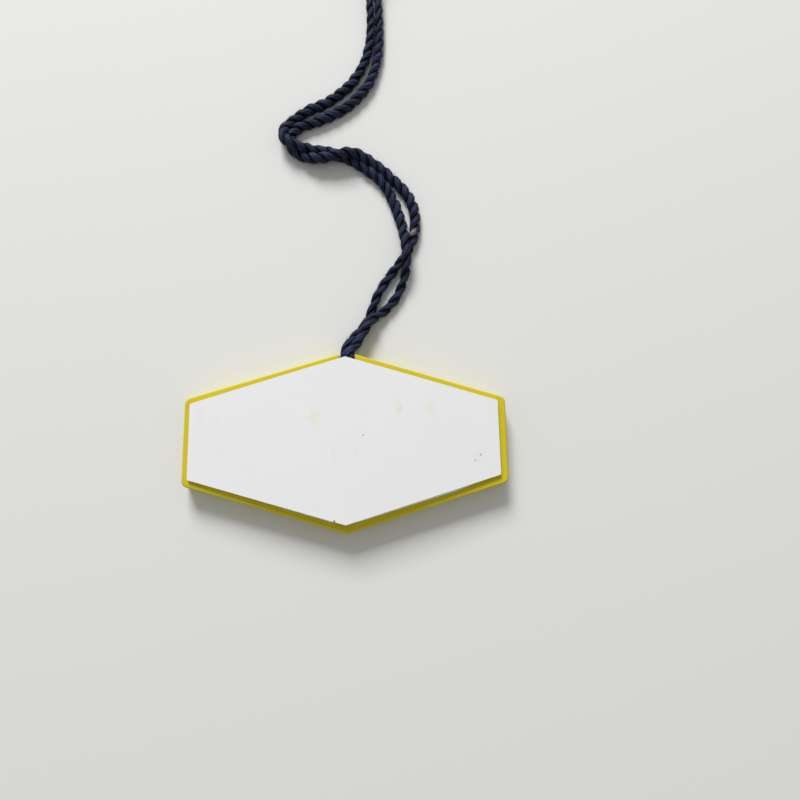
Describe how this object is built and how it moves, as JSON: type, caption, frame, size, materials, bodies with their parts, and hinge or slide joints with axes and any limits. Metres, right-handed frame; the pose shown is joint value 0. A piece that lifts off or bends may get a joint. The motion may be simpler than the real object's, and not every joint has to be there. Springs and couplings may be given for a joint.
{
  "type": "hanging tag",
  "caption": "Flat elongated hexagonal tag: a moulded plastic body with a stuck-on face sheet and a doubled twisted cord, looped round a post in its notch and knotted to hang it up.",
  "frame": {"origin": "middle of the body's flat back, on the surface that the tag lies on", "axes": "+X along the tag's width, +Y towards the cord notch, +Z out of the face sheet"},
  "size_m": [0.048, 0.1089, 0.005],
  "materials": {
    "yellow_plastic": "satin moulded plastic",
    "adhesive_foam": "double-sided adhesive pad",
    "white_sheet": "smooth matt sheet",
    "navy_cord": "twisted cotton cord"
  },
  "bodies": {
    "tag": {"tag_body": "yellow_plastic", "adhesive_pad": "adhesive_foam", "face_sheet": "white_sheet"},
    "cord": {"cord_anchor_loop": "navy_cord", "cord_left_leg": "navy_cord", "cord_right_leg": "navy_cord", "cord_end_knot": "navy_cord"}
  },
  "joints": [
    {"name": "cord_swing", "type": "hinge", "parent": "tag", "child": "cord", "pos_m": [0, 0.009, 0.0025], "axis": [0, 0, 1], "range_deg": [-2.5, 2.5]}
  ]
}
